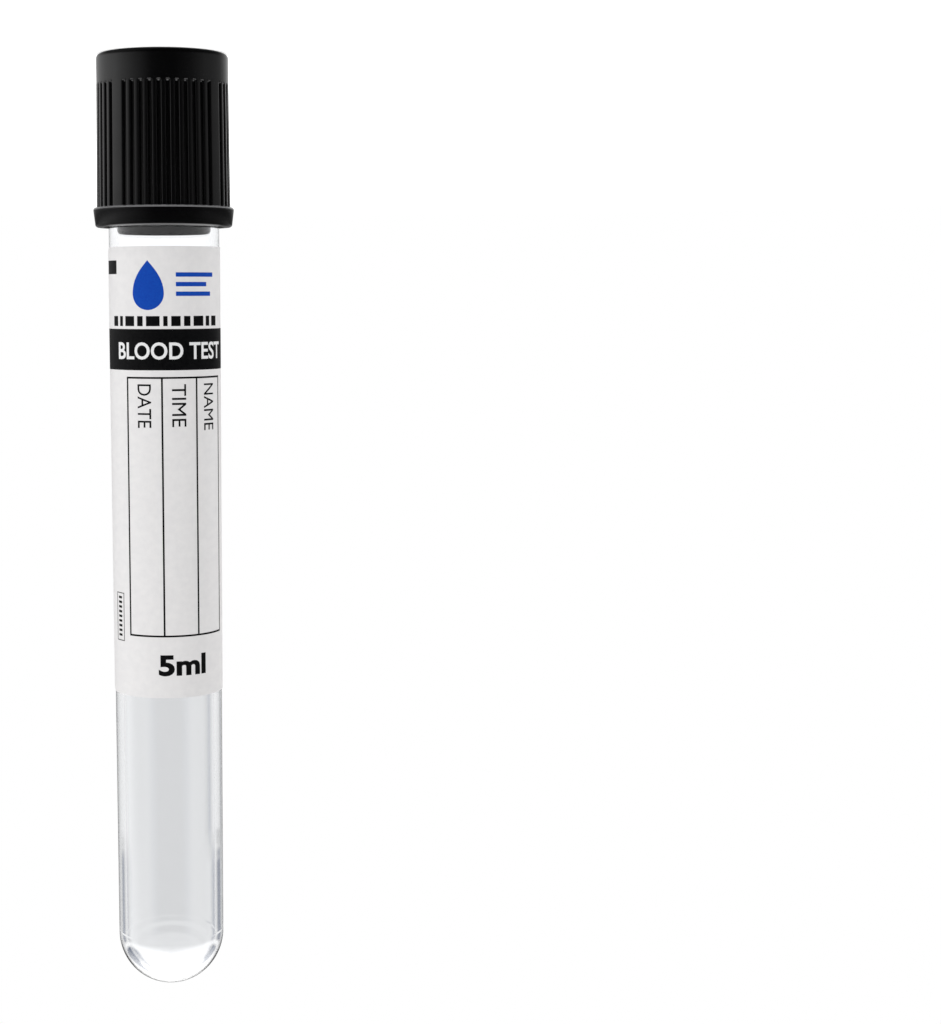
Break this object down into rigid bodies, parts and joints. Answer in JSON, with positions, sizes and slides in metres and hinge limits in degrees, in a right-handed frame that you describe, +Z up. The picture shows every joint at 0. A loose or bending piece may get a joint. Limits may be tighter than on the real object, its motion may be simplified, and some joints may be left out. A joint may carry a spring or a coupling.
{
  "type": "blood collection tube",
  "caption": "Clear round-bottomed 13 by 100 mm sample tube standing upside down on its cap, with a wrapped paper label, a rubber stopper and a ribbed black pull-off safety cap.",
  "frame": {"origin": "on the floor, in the middle of the flat top of the cap, which the tube stands on upside down", "axes": "+Z up, along the tube from its cap to its round end; -Y towards the front of the label; +X to the left of the label as it is read with the cap at the top"},
  "size_m": [0.0164, 0.0164, 0.1114],
  "materials": {
    "clear_plastic": "clear moulded PET plastic, polished",
    "label_paper": "pale coated paper, printed",
    "stopper_rubber": "black moulded rubber, dull",
    "cap_plastic": "black moulded plastic, satin"
  },
  "bodies": {
    "closure": {"cap": "cap_plastic", "stopper": "stopper_rubber"},
    "tube": {"tube": "clear_plastic", "label": "label_paper"}
  },
  "joints": [
    {"name": "closure_pull", "type": "slide", "parent": "closure", "child": "tube", "axis": [0, 0, 1], "range_m": [0, 0.02]}
  ]
}
